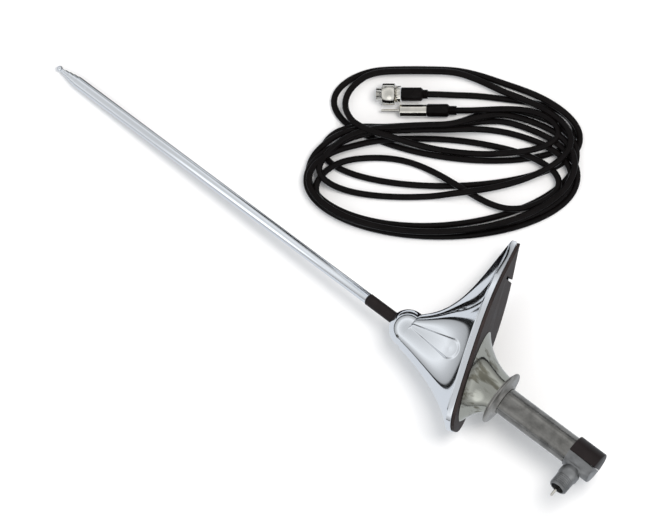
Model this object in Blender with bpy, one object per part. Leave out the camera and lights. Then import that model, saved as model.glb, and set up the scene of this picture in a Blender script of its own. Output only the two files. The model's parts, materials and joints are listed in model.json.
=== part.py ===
"""Telescopic car wing antenna with a raked cover, ball head and loose coaxial lead.

The antenna lies on its side as it comes to rest: on the mast's end and on the cover's edge.
Sizes are in millimetres and become metres where a mesh or a place is made.
Antenna frame: Z along the mast, X towards the cover's tail, Y across the cover.
"""

import math

import bmesh
import bpy
from mathutils import Matrix, Vector

MM = 0.001
RUN_GAP = 0.3

# Cover: rake of the mast against the rim, and the rim's outline
RAKE = math.radians(18.0)
RIM_NOSE = 39.0
RIM_TAIL = 91.0
RIM_HALF_WIDTH = 28.0
TAIL_TAPER = 0.92
TAIL_POWER = 2.9
NOSE_FULLNESS = 0.6
LIP_HEIGHT = 3.6
LIP_EDGE = 0.4
LIP_WALL = 2.4
COVER_WALL = 1.6
CAVITY_TOP = 0.9
RING_POINTS = 44
TAIL_HANDLES = ((60.0, 13.5), (37.0, 18.0))
NOSE_HANDLES = ((-25.0, 9.0), (-10.0, 26.0))
WAIST_WIDTHS = (21.0, 15.0)
RELIEF_HEIGHT = 0.7
RELIEF_ROUND_END = (6.0, 16.0, 6.5)
RELIEF_NARROW_END = (3.0, 46.0, 1.3)

# Ball head
SEAM_HEIGHT = 47.3
BALL_HEIGHT = 49.7
BALL_RADIUS = 12.6
SOCKET_EDGE = 0.5
SEAT_OUTER = 11.7
SEAT_FROM = math.radians(25.0)
SEAT_TO = math.radians(52.0)
SEAT_FOOT = 4.0
SCREW_RADIUS = 0.9
SCREW_LENGTH = 3.6
SCREW_TURN = math.radians(230.0)
SCREW_HEIGHT = 0.8
SCREW_SUNK = 0.5

# Mast
TUBE_WALL = 0.35
MAST_RADIUS = 3.7
SECTION_STEP = 0.6
SECTION_COUNT = 4
ROD_RADIUS = 1.2
TIP_RADIUS = 1.95
MAST_TOPS = (327.5, 331.0, 334.5, 337.5)
TIP_RISE = 4.1
TIP_HEIGHT = MAST_TOPS[-1] + TIP_RISE
TIP_FLAT = 1.5
TOP_CHAMFER = 0.2
NECK_RADIUS = 3.0
NECK_DEPTH = 8.0
SLEEVE_OUTER = 4.0
SLEEVE_LENGTH = 20.0
NEST_FLOOR = 3.0
NEST_STEP = 1.0

# Gasket, claw, washer and nut under the cover
GASKET_INSET = 0.6
GASKET_HEIGHT = 2.0
GASKET_OPENING = (25.0, 16.0)
NOTCH_PLACE = 66.7
NOTCH_WIDTH = 2.2
NOTCH_START = -6.0
CLAW_NOSE = 31.0
CLAW_TAIL = 30.0
CLAW_HALF_WIDTH = 21.0
CLAW_NARROW = 14.0
CLAW_FOOT = -24.3
CLAW_WALL = 1.8
CLAW_FLOOR = 3.0
WASHER_RADIUS = 16.5
WASHER_THICK = 0.8
NUT_RADIUS = 19.0
NUT_FLANGE = 1.6
NUT_COLLAR_RADIUS = 11.2
NUT_COLLAR = 2.2

# Body tube and its end
TUBE_RADIUS = 9.45
BODY_WALL = 1.4
TUBE_END = -101.8
END_WALL = 1.9
CAP_START = -84.2
CAP_RADIUS = 11.2
CASTING_RADIUS = 10.6
STUB_PLACE = -92.6
STUB_TURN = math.radians(22.0)
STUB_RADIUS = 6.0
STUB_BORE = 4.65
STUB_REACH = 26.7
PAD_RADIUS = 6.9
PAD_REACH = 16.5
PIN_RADIUS = 0.95
PIN_BEYOND = 6.6
INSULATOR_START = 11.5
INSULATOR_LENGTH = 4.5

# Inner conductor
CONDUCTOR_RADIUS = 1.2
CONDUCTOR_LOW = -96.0
CONDUCTOR_HIGH = 8.0
BUSH_LENGTH = 6.0
BUSH_PLACES = (-82.0, 1.0)
SPRING_RADIUS = 3.0
SPRING_WIRE = 0.4
SPRING_TURNS = 6
SPRING_FOOT_RADIUS = 4.2
SPRING_FOOT = 1.2
PLUNGER_RADIUS = 4.2
PLUNGER_HEIGHT = 4.5

# Lead, in its own frame on the floor: X to the plugs' rear, Y away from the mast
LEAD_CENTRE = (-102.3, 103.1)
LEAD_TURN = math.radians(36.2)
CABLE_RADIUS = 2.1
COIL_HALF_LENGTH = 92.9
COIL_HALF_WIDTH = 56.5
COIL_HEIGHT = 8.8
COIL_SQUARENESS = 2.4
HOLE_SQUARENESS = 4.0
UPPER_HOLE = (-8.0, 29.0, 46.0, 20.6)
LOWER_HOLE = (-10.0, -26.0, 56.0, 10.0)
SCREW_PLUG_TIP = (-43.0, 40.3)
NUT_KNURL_RADIUS = 7.1
KNURL_DEPTH = 0.3
KNURL_COUNT = 36
THREAD_GAP = 0.25
PLUG_BODY_RADIUS = 4.4
PLUG_WALL = 0.8
COLLAR_RADIUS = 5.6
NUT_START = 3.9
NUT_LENGTH = 8.4
NUT_BACK_WALL = 1.4
COLLAR_LENGTH = 3.4
BOOT_RADIUS = 4.5
BOOT_LENGTH = 14.0
BOOT_NECK_RADIUS = 3.0
BOOT_NECK = 3.2
SOCKET_LENGTH = 9.0
RADIO_PLUG_TIP = (-40.3, 30.0)
RADIO_PIN_RADIUS = 0.95
RADIO_PIN_LENGTH = 12.4
BARREL_RADIUS = 4.15
BARREL_LENGTH = 17.7
BARREL_WALL = 0.6
RADIO_BOOT_RADIUS = 4.3
RADIO_BOOT_LENGTH = 14.4
RADIO_BOOT_NECK = 4.8
TUBE_END_GAP = 0.6


def clear_scene():
    """Remove what the scene holds."""
    for obj in list(bpy.data.objects):
        bpy.data.objects.remove(obj, do_unlink=True)


def material(name, colour, roughness, metallic):
    """Principled finish with one plain colour."""
    finish = bpy.data.materials.new(name)
    finish.use_nodes = True
    shader = finish.node_tree.nodes["Principled BSDF"]
    shader.inputs["Base Color"].default_value = (*colour, 1.0)
    shader.inputs["Roughness"].default_value = roughness
    shader.inputs["Metallic"].default_value = metallic
    return finish


def empty(name, place, turn=None, parent=None):
    """Empty that carries other objects."""
    carrier = bpy.data.objects.new(name, None)
    bpy.context.scene.collection.objects.link(carrier)
    carrier.parent = parent
    matrix = Matrix.Translation(Vector(place) * MM)
    if turn is not None:
        matrix = matrix @ turn.to_4x4()
    carrier.matrix_local = matrix
    return carrier


def build(name, points, faces, finish, parent, place=(0.0, 0.0, 0.0)):
    """Object from points in millimetres, faces outwards."""
    mesh = bpy.data.meshes.new(name)
    mesh.from_pydata([Vector(point) * MM for point in points], [], faces)
    work = bmesh.new()
    work.from_mesh(mesh)
    bmesh.ops.recalc_face_normals(work, faces=work.faces)
    work.to_mesh(mesh)
    work.free()
    mesh.shade_smooth()
    mesh.set_sharp_from_angle(angle=math.radians(35.0))
    mesh.materials.append(finish)
    obj = bpy.data.objects.new(name, mesh)
    bpy.context.scene.collection.objects.link(obj)
    obj.parent = parent
    obj.location = Vector(place) * MM
    return obj


def bridge(rings):
    """Faces between each ring of indices and the next; a ring of one index is a pole."""
    faces = []
    for low, high in rings:
        count = max(len(low), len(high))
        for k in range(count):
            after = (k + 1) % count
            if len(low) == 1:
                faces.append((low[0], high[k], high[after]))
            elif len(high) == 1:
                faces.append((low[k], low[after], high[0]))
            else:
                faces.append((low[k], low[after], high[after], high[k]))
    return faces


def loft(name, rings, finish, parent, looped=False, place=(0.0, 0.0, 0.0)):
    """Skin over rings of points; a looped loft joins its last ring to its first."""
    points = [point for ring in rings for point in ring]
    indices = []
    start = 0
    for ring in rings:
        indices.append(list(range(start, start + len(ring))))
        start += len(ring)
    pairs = list(zip(indices, indices[1:]))
    if looped:
        pairs.append((indices[-1], indices[0]))
    faces = bridge(pairs)
    if not looped:
        faces += [indices[k] for k in (0, -1) if len(indices[k]) > 1]
    return build(name, points, faces, finish, parent, place)


def round_ring(radius, height, sides, ribs=0.0):
    """Ring round Z; ribs draws every second point in by that much."""
    if radius == 0:
        return [(0.0, 0.0, height)]
    ring = []
    for k in range(sides):
        angle = 2 * math.pi * k / sides
        reach = radius - ribs * (k % 2)
        ring.append((reach * math.cos(angle), reach * math.sin(angle), height))
    return ring


def turned(name, profile, finish, parent, place=(0.0, 0.0, 0.0), sides=28, looped=False):
    """Profile of (radius, height) turned about Z, from pole to pole or as a closed loop."""
    rings = [round_ring(radius, height, sides) for radius, height in profile]
    return loft(name, rings, finish, parent, looped, place)


def boolean(target, operation, cutter):
    """Exact Boolean on target; the cutter is left out of the model."""
    change = target.modifiers.new(cutter.name, "BOOLEAN")
    change.operation = operation
    change.solver = "EXACT"
    change.object = cutter
    cutter.hide_render = True
    cutter.display_type = "WIRE"


def bar(name, radius, start, end, parent, finish, sides=24):
    """Solid round bar between two points."""
    start = Vector(start)
    along = Vector(end) - start
    turn = along.to_track_quat("Z", "Y").to_matrix()
    obj = turned(name, [(0, 0), (radius, 0), (radius, along.length), (0, along.length)], finish, parent,
                 sides=sides)
    obj.matrix_local = Matrix.Translation(start * MM) @ turn.to_4x4()
    return obj


def from_rim(along, above):
    """Antenna frame's X and Z of a point given along the rim and above it."""
    return (along * math.cos(RAKE) - above * math.sin(RAKE),
            along * math.sin(RAKE) + above * math.cos(RAKE))


def bezier(ends, handles, share):
    """Point and direction on a cubic curve."""
    knots = [Vector(knot) for knot in (ends[0], *handles, ends[1])]
    rest = 1.0 - share
    point = (knots[0] * rest ** 3 + knots[1] * 3 * rest ** 2 * share
             + knots[2] * 3 * rest * share ** 2 + knots[3] * share ** 3)
    along = ((knots[1] - knots[0]) * rest ** 2 + (knots[2] - knots[1]) * 2 * rest * share
             + (knots[3] - knots[2]) * share ** 2)
    return point, along.normalized()


def width_factor(reach):
    """Width of the rim's outline against an oval's: full at the nose, tapered at the tail."""
    if reach > 0:
        return 1.0 - TAIL_TAPER * reach ** TAIL_POWER
    return 1.0 + NOSE_FULLNESS * reach ** 4


def oval_ring(nose, tail, half_width, roundness):
    """Ring between a nose and a tail point (X, Z); roundness 0 is the rim's outline, 1 a circle."""
    nose = Vector(nose)
    tail = Vector(tail)
    ring = []
    for k in range(RING_POINTS):
        angle = 2 * math.pi * k / RING_POINTS
        reach = math.cos(angle)
        factor = (1.0 - roundness) * width_factor(reach) + roundness
        spot = (nose + tail) / 2 + (tail - nose) / 2 * reach
        ring.append((spot.x, half_width * math.sin(angle) * factor, spot.y))
    return ring


def rim_ring(inset, above):
    """The rim's outline, drawn in and raised."""
    return oval_ring(from_rim(-(RIM_NOSE - inset), above), from_rim(RIM_TAIL - inset, above),
                     RIM_HALF_WIDTH - inset, 0.0)


SOCKET_RADIUS = BALL_RADIUS + RUN_GAP
SEAM_RADIUS = SOCKET_RADIUS + SOCKET_EDGE
LIP_TOP = LIP_HEIGHT / 2


def seam_point(side):
    """Where the seam's circle meets the middle plane, as (along, above) the rim."""
    x = side * SEAM_RADIUS
    return (x * math.cos(RAKE) + SEAM_HEIGHT * math.sin(RAKE),
            SEAM_HEIGHT * math.cos(RAKE) - x * math.sin(RAKE))


def flare_ring(share, grow):
    """Ring of the cover's flare, 0 at the lip and 1 at the seam, grown outwards."""
    tail, along = bezier(((RIM_TAIL, LIP_TOP), seam_point(1)), TAIL_HANDLES, share)
    tail += Vector((along.y, -along.x)) * grow
    nose, along = bezier(((-RIM_NOSE, LIP_TOP), seam_point(-1)), NOSE_HANDLES, share)
    nose += Vector((-along.y, along.x)) * grow
    width, along = bezier(((RIM_HALF_WIDTH, 0), (SEAM_RADIUS, 0)),
                          [(value, 0) for value in WAIST_WIDTHS], share)
    roundness = share * share * (3 - 2 * share)
    return oval_ring(from_rim(*nose), from_rim(*tail), width.x + grow, roundness)


def circle_ring(radius, height):
    """Circle about the mast's axis, with the cover rings' point order."""
    return oval_ring((-radius, height), (radius, height), radius, 1.0)


def drop_outline(round_end, narrow_end, steps):
    """Outline of a tapered drop between two circles (X, Z, radius)."""
    centre = Vector(round_end[:2])
    tip = Vector(narrow_end[:2])
    axis = tip - centre
    lean = math.atan2(axis.y, axis.x)
    slope = math.acos((round_end[2] - narrow_end[2]) / axis.length)
    outline = []
    for k in range(steps + 1):
        angle = lean + slope + (2 * math.pi - 2 * slope) * k / steps
        outline.append(centre + Vector((math.cos(angle), math.sin(angle))) * round_end[2])
    for k in range(steps + 1):
        angle = lean - slope + 2 * slope * k / steps
        outline.append(tip + Vector((math.cos(angle), math.sin(angle))) * narrow_end[2])
    return outline


def base_cover(parent, chrome):
    """Cast cover: lip, concave flare, raised drop on each side, hollow below, socket edge on top."""
    flare = [0.04, 0.1, 0.18, 0.27, 0.36, 0.45, 0.54, 0.63, 0.72, 0.8, 0.87, 0.93, 0.97]
    rings = [rim_ring(LIP_EDGE, -LIP_TOP), rim_ring(0.0, LIP_EDGE - LIP_TOP),
             rim_ring(0.0, LIP_TOP - LIP_EDGE), rim_ring(LIP_EDGE, LIP_TOP)]
    rings += [flare_ring(share, 0.0) for share in flare]
    rings.append(circle_ring(SEAM_RADIUS, SEAM_HEIGHT))
    cover = loft("base_cover", rings, chrome, parent)

    raised = [flare_ring(share, RELIEF_HEIGHT) for share in flare[1:]]
    relief = loft("relief_block", raised, chrome, parent)
    outline = drop_outline(RELIEF_ROUND_END, RELIEF_NARROW_END, 10)
    reach = RIM_HALF_WIDTH + RELIEF_HEIGHT
    sides = [[(spot.x, side * reach, spot.y) for spot in outline] for side in (-1, 1)]
    boolean(relief, "INTERSECT", loft("relief_outline", sides, chrome, parent))
    boolean(cover, "UNION", relief)

    inner = [rim_ring(LIP_WALL, -LIP_HEIGHT), rim_ring(LIP_WALL, 0.2)]
    inner += [flare_ring(share, -COVER_WALL) for share in (0.12, 0.25, 0.4, 0.55, 0.7, 0.82, CAVITY_TOP)]
    inner.append(circle_ring(SOCKET_RADIUS, SEAM_HEIGHT - 3.0))
    inner.append(circle_ring(SOCKET_RADIUS, SEAM_HEIGHT + 3.0))
    boolean(cover, "DIFFERENCE", loft("cover_hollow", inner, chrome, parent))
    return cover


GASKET_TOP = -LIP_TOP - RUN_GAP
GASKET_FOOT = GASKET_TOP - GASKET_HEIGHT
CLAW_RIM = GASKET_FOOT - RUN_GAP


def gasket(parent, rubber):
    """Flat rubber gasket with an opening and a narrow notch across the tail."""
    length, width = GASKET_OPENING
    opening = [oval_ring(from_rim(-length, above), from_rim(length, above), width, 1.0)
               for above in (GASKET_FOOT, GASKET_TOP)]
    rings = [rim_ring(GASKET_INSET, GASKET_TOP), rim_ring(GASKET_INSET, GASKET_FOOT), *opening]
    plate = loft("rubber_gasket", rings, rubber, parent, looped=True)
    corners = [(NOTCH_START, -1), (RIM_HALF_WIDTH, -1), (RIM_HALF_WIDTH, 1), (NOTCH_START, 1)]
    rings = []
    for above in (GASKET_FOOT - 1.0, GASKET_TOP + 1.0):
        spots = [(from_rim(NOTCH_PLACE + side * NOTCH_WIDTH / 2, above), across) for across, side in corners]
        rings.append([(spot[0], across, spot[1]) for spot, across in spots])
    boolean(plate, "DIFFERENCE", loft("notch", rings, rubber, parent))
    return plate


def clamp_claw(parent, nickel):
    """Funnel that grips the panel from below: round and floored at the nut, oval at the gasket."""
    tail = (from_rim(CLAW_TAIL, CLAW_RIM), (CLAW_NARROW, CLAW_FOOT))
    nose = (from_rim(-CLAW_NOSE, CLAW_RIM), (-CLAW_NARROW, CLAW_FOOT))
    tail_handles = ((22.0, -1.0), (15.0, -12.0))
    nose_handles = ((-21.0, -17.0), (-15.0, -19.5))
    width_handles = ((15.5, 0), (14.2, 0))

    def ring(share, inset):
        tail_spot, along = bezier(tail, tail_handles, share)
        nose_spot, along = bezier(nose, nose_handles, share)
        width, along = bezier(((CLAW_HALF_WIDTH, 0), (CLAW_NARROW, 0)), width_handles, share)
        inward = Vector((inset, inset * math.tan(RAKE) * (1 - share)))
        return oval_ring(nose_spot + inward, tail_spot - inward, width.x - inset, 1.0)

    shares = [0.0, 0.1, 0.22, 0.36, 0.5, 0.64, 0.78, 0.9]
    outer = [circle_ring(CLAW_NARROW, CLAW_FOOT)] + [ring(share, 0.0) for share in reversed(shares)]
    inner = [ring(share, CLAW_WALL) for share in shares[:-1]]
    inner.append(circle_ring(CLAW_NARROW - CLAW_WALL, CLAW_FOOT + CLAW_FLOOR))
    bore = TUBE_RADIUS + RUN_GAP
    inner += [circle_ring(bore, CLAW_FOOT + CLAW_FLOOR), circle_ring(bore, CLAW_FOOT)]
    return loft("clamp_claw", outer + inner, nickel, parent, looped=True)


def ring_profile(inner, outer, low, high):
    """Profile of a plain ring."""
    return [(inner, low), (outer, low), (outer, high), (inner, high)]


def fasteners(parent, steel):
    """Spring washer and round flange nut that draw the claw up the tube."""
    bore = TUBE_RADIUS + RUN_GAP
    washer_top = CLAW_FOOT - RUN_GAP
    washer_low = washer_top - WASHER_THICK
    turned("lock_washer", ring_profile(bore, WASHER_RADIUS, washer_low, washer_top), steel, parent,
           sides=40, looped=True)
    nut_top = washer_low - RUN_GAP
    flange_low = nut_top - NUT_FLANGE
    profile = [(bore, nut_top), (NUT_RADIUS - LIP_EDGE, nut_top), (NUT_RADIUS, nut_top - LIP_EDGE),
               (NUT_RADIUS, flange_low + LIP_EDGE), (NUT_RADIUS - LIP_EDGE, flange_low),
               (NUT_COLLAR_RADIUS, flange_low), (NUT_COLLAR_RADIUS, flange_low - NUT_COLLAR),
               (bore, flange_low - NUT_COLLAR)]
    turned("clamp_nut", profile, steel, parent, sides=40, looped=True)


STUB_WAY = Vector((-math.cos(STUB_TURN), -math.sin(STUB_TURN), 0.0))
STUB_CENTRE = Vector((0.0, 0.0, STUB_PLACE))
TUBE_BORE = TUBE_RADIUS - BODY_WALL
SEAT_LOW = BALL_HEIGHT - SOCKET_RADIUS * math.cos(SEAT_FROM) - SEAT_FOOT
TUBE_TOP = SEAT_LOW - RUN_GAP


def body_tube(parent, steel):
    """Long tube with a side hole for the stub's spigot."""
    tube = turned("body_tube", ring_profile(TUBE_BORE, TUBE_RADIUS, TUBE_END, TUBE_TOP), steel, parent,
                  sides=36, looped=True)
    reach = STUB_CENTRE + STUB_WAY * (TUBE_RADIUS + 2.0)
    boolean(tube, "DIFFERENCE", bar("stub_hole", STUB_BORE + 0.9, STUB_CENTRE, reach, parent, steel))
    return tube


def half_shell(name, outer, side, low, finish, parent):
    """Half of a capped sleeve over the tube's end; side 1 is the tail's half."""
    inner = TUBE_RADIUS + RUN_GAP
    wall_top = TUBE_END - RUN_GAP
    profile = [(0, low), (outer - LIP_EDGE, low), (outer, low + LIP_EDGE), (outer, CAP_START),
               (inner, CAP_START), (inner, wall_top), (0, wall_top)]
    shell = turned(name, profile, finish, parent, sides=40)
    reach = outer + 1.0
    near = -side * RUN_GAP / 2
    far = -side * reach
    edges = sorted((-near, far))
    corners = [(edges[0], -reach), (edges[1], -reach), (edges[1], reach), (edges[0], reach)]
    box = [[(x, y, z) for x, y in corners] for z in (low - 1.0, CAP_START + 1.0)]
    boolean(shell, "DIFFERENCE", loft(name + "_half", box, finish, parent))
    return shell


def tube_end(parent, plastic, cast):
    """Black cap on the tail's half and the casting with the threaded stub on the other."""
    low = TUBE_END - RUN_GAP - END_WALL
    half_shell("end_cap", CAP_RADIUS, 1, low, plastic, parent)
    casting = half_shell("connector_stub", CASTING_RADIUS, -1, low, cast, parent)
    rise = STUB_WAY.to_track_quat("Z", "Y").to_matrix().to_4x4()
    place = Matrix.Translation(STUB_CENTRE * MM) @ rise
    root = TUBE_BORE + RUN_GAP
    clear_hole = STUB_BORE + 0.6
    edge = 0.5
    profile = [(clear_hole, root), (clear_hole, TUBE_RADIUS + RUN_GAP + 0.2), (PAD_RADIUS, PAD_REACH - 4.0),
               (PAD_RADIUS, PAD_REACH), (STUB_RADIUS, PAD_REACH + 0.6),
               (STUB_RADIUS, STUB_REACH - edge), (STUB_RADIUS - edge, STUB_REACH),
               (STUB_BORE, STUB_REACH), (STUB_BORE, root)]
    stub = turned("stub_shape", profile, cast, parent, sides=32, looped=True)
    stub.matrix_local = place
    boolean(casting, "UNION", stub)
    bore = turned("stub_bore", [(0, root - 2.0), (STUB_BORE, root - 2.0), (STUB_BORE, STUB_REACH + 2.0),
                                (0, STUB_REACH + 2.0)], cast, parent, sides=32)
    bore.matrix_local = place
    boolean(casting, "DIFFERENCE", bore)
    return place


def stub_inside(parent, place, plastic, nickel):
    """Insulator and centre pin of the stub."""
    hole = PIN_RADIUS + RUN_GAP
    end = INSULATOR_START + INSULATOR_LENGTH
    insulator = turned("stub_insulator", ring_profile(hole, STUB_BORE - RUN_GAP, INSULATOR_START, end),
                       plastic, parent, looped=True)
    insulator.matrix_local = place
    start = CONDUCTOR_RADIUS + RUN_GAP
    tip = STUB_REACH + PIN_BEYOND
    point = PIN_RADIUS * 0.5
    pin = turned("contact_pin", [(0, start), (PIN_RADIUS, start), (PIN_RADIUS, tip - point),
                                 (point, tip), (0, tip)], nickel, parent, sides=16)
    pin.matrix_local = place


def conductor(parent, brass, plastic, steel):
    """Inner conductor with its bushes, spring and plunger up to the ball."""
    foot = CONDUCTOR_HIGH - SPRING_FOOT
    profile = [(0, CONDUCTOR_LOW), (CONDUCTOR_RADIUS, CONDUCTOR_LOW), (CONDUCTOR_RADIUS, foot),
               (SPRING_FOOT_RADIUS, foot), (SPRING_FOOT_RADIUS, CONDUCTOR_HIGH), (0, CONDUCTOR_HIGH)]
    turned("inner_conductor", profile, brass, parent, sides=20)
    for number, low in enumerate(BUSH_PLACES, 1):
        bush = ring_profile(CONDUCTOR_RADIUS + RUN_GAP, TUBE_BORE - RUN_GAP, low, low + BUSH_LENGTH)
        if low + BUSH_LENGTH > foot:
            bush = ring_profile(CONDUCTOR_RADIUS + RUN_GAP, TUBE_BORE - RUN_GAP, low, foot - RUN_GAP)
        turned("feed_bush_%d" % number, bush, plastic, parent, looped=True)
    plunger_top = BALL_HEIGHT - BALL_RADIUS - RUN_GAP
    plunger_low = plunger_top - PLUNGER_HEIGHT
    turned("contact_plunger", [(0, plunger_low), (PLUNGER_RADIUS, plunger_low),
                               (PLUNGER_RADIUS, plunger_top - 1.5), (1.5, plunger_top), (0, plunger_top)],
           brass, parent, sides=20)
    spring_coil(parent, steel, CONDUCTOR_HIGH + RUN_GAP, plunger_low - RUN_GAP)


def spring_coil(parent, steel, low, high):
    """Coil spring as a wire ring carried along a helix with flat end turns."""
    steps = 14
    sides = 6
    rise = high - low - 2 * SPRING_WIRE
    total = SPRING_TURNS * steps
    rings = []
    for k in range(total + 1):
        angle = 2 * math.pi * k / steps
        height = low + SPRING_WIRE + rise * k / total
        ring = []
        for j in range(sides):
            around = 2 * math.pi * j / sides
            reach = SPRING_RADIUS + SPRING_WIRE * math.cos(around)
            ring.append((reach * math.cos(angle), reach * math.sin(angle),
                         height + SPRING_WIRE * math.sin(around)))
        rings.append(ring)
    loft("contact_spring", rings, steel, parent)


def ball_head(parent, head, chrome, steel, plastic):
    """Ball with the mast's socket and lock screw, and the seat that carries it."""
    seat_radius = SOCKET_RADIUS
    arc = []
    steps = 6
    for k in range(steps + 1):
        angle = SEAT_FROM + (SEAT_TO - SEAT_FROM) * k / steps
        arc.append((seat_radius * math.sin(angle), BALL_HEIGHT - seat_radius * math.cos(angle)))
    foot_radius = TUBE_RADIUS
    profile = arc + [(SEAT_OUTER, arc[-1][1]), (SEAT_OUTER, arc[-1][1] - 1.2),
                     (foot_radius, SEAT_LOW), (arc[0][0], SEAT_LOW)]
    turned("ball_seat", profile, steel, parent, sides=36, looped=True)

    socket = NECK_RADIUS + RUN_GAP
    mouth = math.asin(socket / BALL_RADIUS)
    profile = [(0, -BALL_RADIUS)]
    steps = 16
    for k in range(1, steps + 1):
        angle = math.pi - (math.pi - mouth) * k / steps
        profile.append((BALL_RADIUS * math.sin(angle), BALL_RADIUS * math.cos(angle)))
    floor = BALL_RADIUS - NECK_DEPTH
    profile += [(socket, floor), (0, floor)]
    ball = turned("swivel_ball", profile, chrome, head, sides=36)
    way = Vector((math.cos(SCREW_TURN), math.sin(SCREW_TURN), 0.0))
    lift = Vector((0, 0, SCREW_HEIGHT))
    outer_end = way * (BALL_RADIUS - SCREW_SUNK)
    inner_end = outer_end - way * SCREW_LENGTH
    hole_start = inner_end - way * RUN_GAP
    hole = bar("screw_hole", SCREW_RADIUS + RUN_GAP, hole_start + lift, way * (BALL_RADIUS + 1) + lift, head,
               steel, 16)
    boolean(ball, "DIFFERENCE", hole)
    bar("lock_screw", SCREW_RADIUS, inner_end + lift, outer_end + lift, head, steel, 16)

    sleeve_low = BALL_RADIUS + RUN_GAP
    turned("mast_sleeve", ring_profile(NECK_RADIUS + RUN_GAP, SLEEVE_OUTER, sleeve_low,
                                       sleeve_low + SLEEVE_LENGTH), plastic, head, looped=True)
    return sleeve_low + SLEEVE_LENGTH


def mast(head, shoulder, chrome):
    """Nested tubes, rod and tip ball; each slides out of the one outside it."""
    neck_low = BALL_RADIUS - NECK_DEPTH + RUN_GAP
    start = shoulder + RUN_GAP
    floor = start + NEST_FLOOR
    bores = []
    for number in range(SECTION_COUNT):
        radius = MAST_RADIUS - SECTION_STEP * number
        bore = radius - TUBE_WALL
        top = MAST_TOPS[number] - BALL_HEIGHT
        bores.append(bore)
        mouth = [(radius, top - TOP_CHAMFER), (radius - TOP_CHAMFER, top), (bore, top)]
        if number == 0:
            profile = [(0, neck_low), (NECK_RADIUS, neck_low), (NECK_RADIUS, start), (radius, start)]
            profile += mouth + [(bore, floor), (0, floor)]
            turned("mast_tube_1", profile, chrome, head, sides=28)
        else:
            low = floor + NEST_STEP * number
            profile = [(bore, low), (radius, low)] + mouth
            turned("mast_tube_%d" % (number + 1), profile, chrome, head, sides=24, looped=True)
    rod_low = floor + NEST_STEP * SECTION_COUNT
    tip = TIP_HEIGHT - BALL_HEIGHT
    flat = tip - TIP_FLAT
    turned("mast_rod", [(0, rod_low), (ROD_RADIUS, rod_low), (ROD_RADIUS, flat - RUN_GAP),
                        (0, flat - RUN_GAP)], chrome, head, sides=20)
    profile = [(0, flat)]
    steps = 10
    first = math.acos(-TIP_FLAT / TIP_RADIUS)
    for k in range(steps):
        angle = first * (1 - k / steps)
        profile.append((TIP_RADIUS * math.sin(angle), tip + TIP_RADIUS * math.cos(angle)))
    profile.append((0, tip + TIP_RADIUS))
    turned("tip_ball", profile, chrome, head, sides=20)


def rest_pose():
    """Lean of the mast's axis and height of the frame's origin when it lies on mast end and rim."""
    edge = rim_ring(0.0, LIP_TOP - LIP_EDGE) + rim_ring(0.0, LIP_EDGE - LIP_TOP)
    far_ends = ((TIP_HEIGHT, TIP_RADIUS), (MAST_TOPS[0], MAST_RADIUS))
    lean = 0.0
    height = RIM_HALF_WIDTH
    for step in range(12):
        lean = min(math.asin((height - radius) / reach) for reach, radius in far_ends)
        height = max(y * math.cos(lean) + z * math.sin(lean) for x, y, z in edge)
    return lean, height


def superellipse(centre_x, centre_y, half_x, half_y, power, low, high, count=48):
    """Two rings of a rounded outline, low and high."""
    rings = []
    for z in (low, high):
        ring = []
        for k in range(count):
            angle = 2 * math.pi * k / count
            cosine = math.cos(angle)
            sine = math.sin(angle)
            x = math.copysign(abs(cosine) ** (2 / power), cosine)
            y = math.copysign(abs(sine) ** (2 / power), sine)
            ring.append((centre_x + half_x * x, centre_y + half_y * y, z))
        rings.append(ring)
    return rings


def lead_coil(lead, rubber):
    """Outer shape of the wound lead, open where the coil is open."""
    coil = loft("lead_coil", superellipse(0, 0, COIL_HALF_LENGTH, COIL_HALF_WIDTH, COIL_SQUARENESS, 0,
                                          COIL_HEIGHT), rubber, lead)
    for name, hole in (("upper_hole", UPPER_HOLE), ("lower_hole", LOWER_HOLE)):
        rings = superellipse(*hole, HOLE_SQUARENESS, -1, COIL_HEIGHT + 1)
        boolean(coil, "DIFFERENCE", loft(name, rings, rubber, lead))
    return coil


def lead_tube(name, start, end_x, lead, rubber):
    """Plain stretch of cable from a boot down to the floor and on to the coil."""
    x, y, z = start
    steps = max(4, round((end_x - x) / (5 * CABLE_RADIUS)))
    curve = bpy.data.curves.new(name, "CURVE")
    curve.dimensions = "3D"
    curve.bevel_depth = CABLE_RADIUS * MM
    curve.bevel_resolution = 2
    curve.use_fill_caps = True
    spline = curve.splines.new("POLY")
    spline.points.add(steps)
    for k in range(steps + 1):
        share = k / steps
        sag = (1 + math.cos(math.pi * share)) / 2
        spot = Vector((x + (end_x - x) * share, y, CABLE_RADIUS + (z - CABLE_RADIUS) * sag)) * MM
        spline.points[k].co = (*spot, 1.0)
    curve.materials.append(rubber)
    obj = bpy.data.objects.new(name, curve)
    bpy.context.scene.collection.objects.link(obj)
    obj.parent = lead


def plug_carrier(name, tip, height, lead):
    """Carrier whose Z runs from a plug's tip to its rear along the lead frame's X."""
    turn = Matrix(((0, 0, 1), (0, 1, 0), (-1, 0, 0)))
    return empty(name, (tip[0], tip[1], height), turn, lead)


def boot_profile(start, radius, length, neck):
    """Moulded boot that narrows to the cable's neck, with a blind end for the cable."""
    end = start + length
    return [(0, start), (radius - LIP_EDGE, start), (radius, start + LIP_EDGE), (radius, end - 1.2),
            (radius - 1.0, end), (BOOT_NECK_RADIUS, end), (BOOT_NECK_RADIUS, end + neck), (0, end + neck)]


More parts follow.
